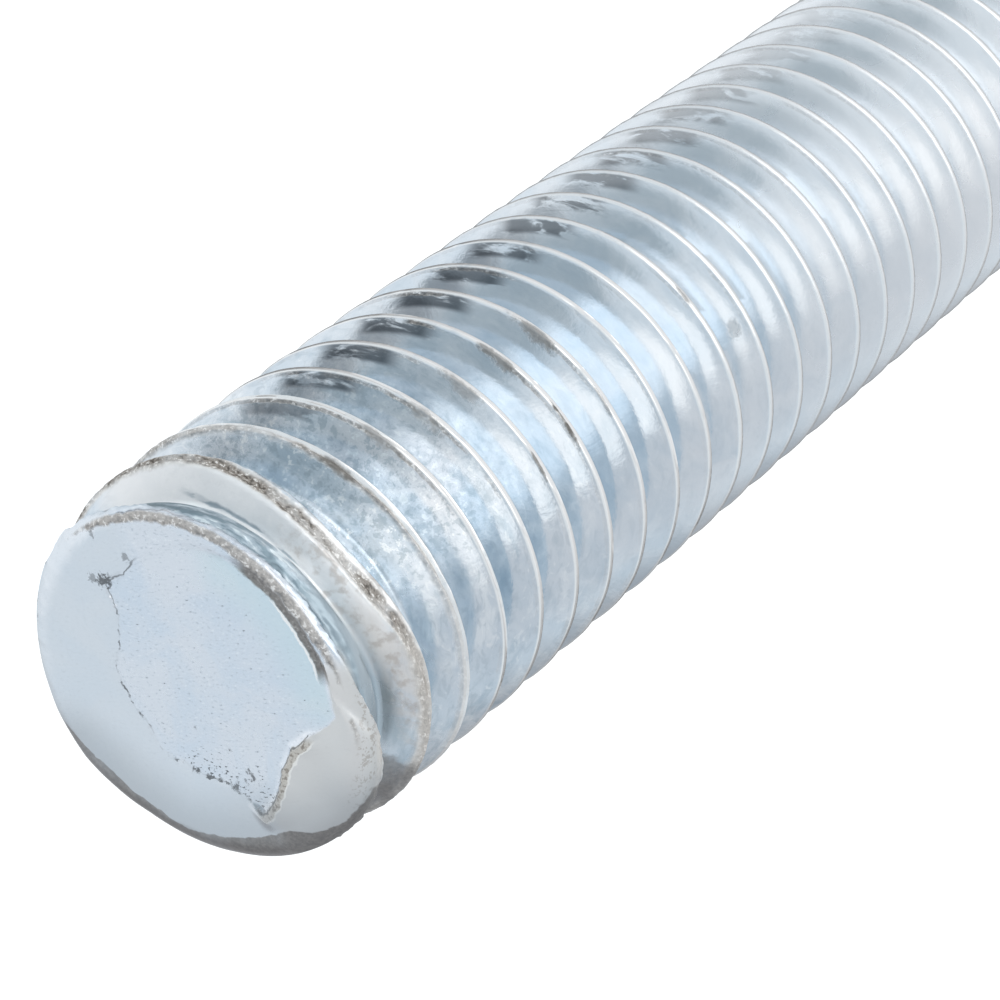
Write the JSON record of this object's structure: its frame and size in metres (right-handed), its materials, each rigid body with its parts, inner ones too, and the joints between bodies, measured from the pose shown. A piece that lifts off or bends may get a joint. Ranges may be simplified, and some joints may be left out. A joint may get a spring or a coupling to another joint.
{
  "type": "threaded rod",
  "caption": "Length of zinc-plated steel rod with a right-hand metric thread along all of it, one end chamfered and the other left as sheared.",
  "frame": {"origin": "centre of the square-cut foot, on the rod's axis", "axes": "+Z along the rod from the foot to the sheared end"},
  "size_m": [0.0078, 0.0078, 0.075],
  "materials": {
    "zinc_plate": "bright zinc plating over rolled steel"
  },
  "bodies": {
    "root": {"threaded_rod": "zinc_plate"}
  },
  "joints": []
}
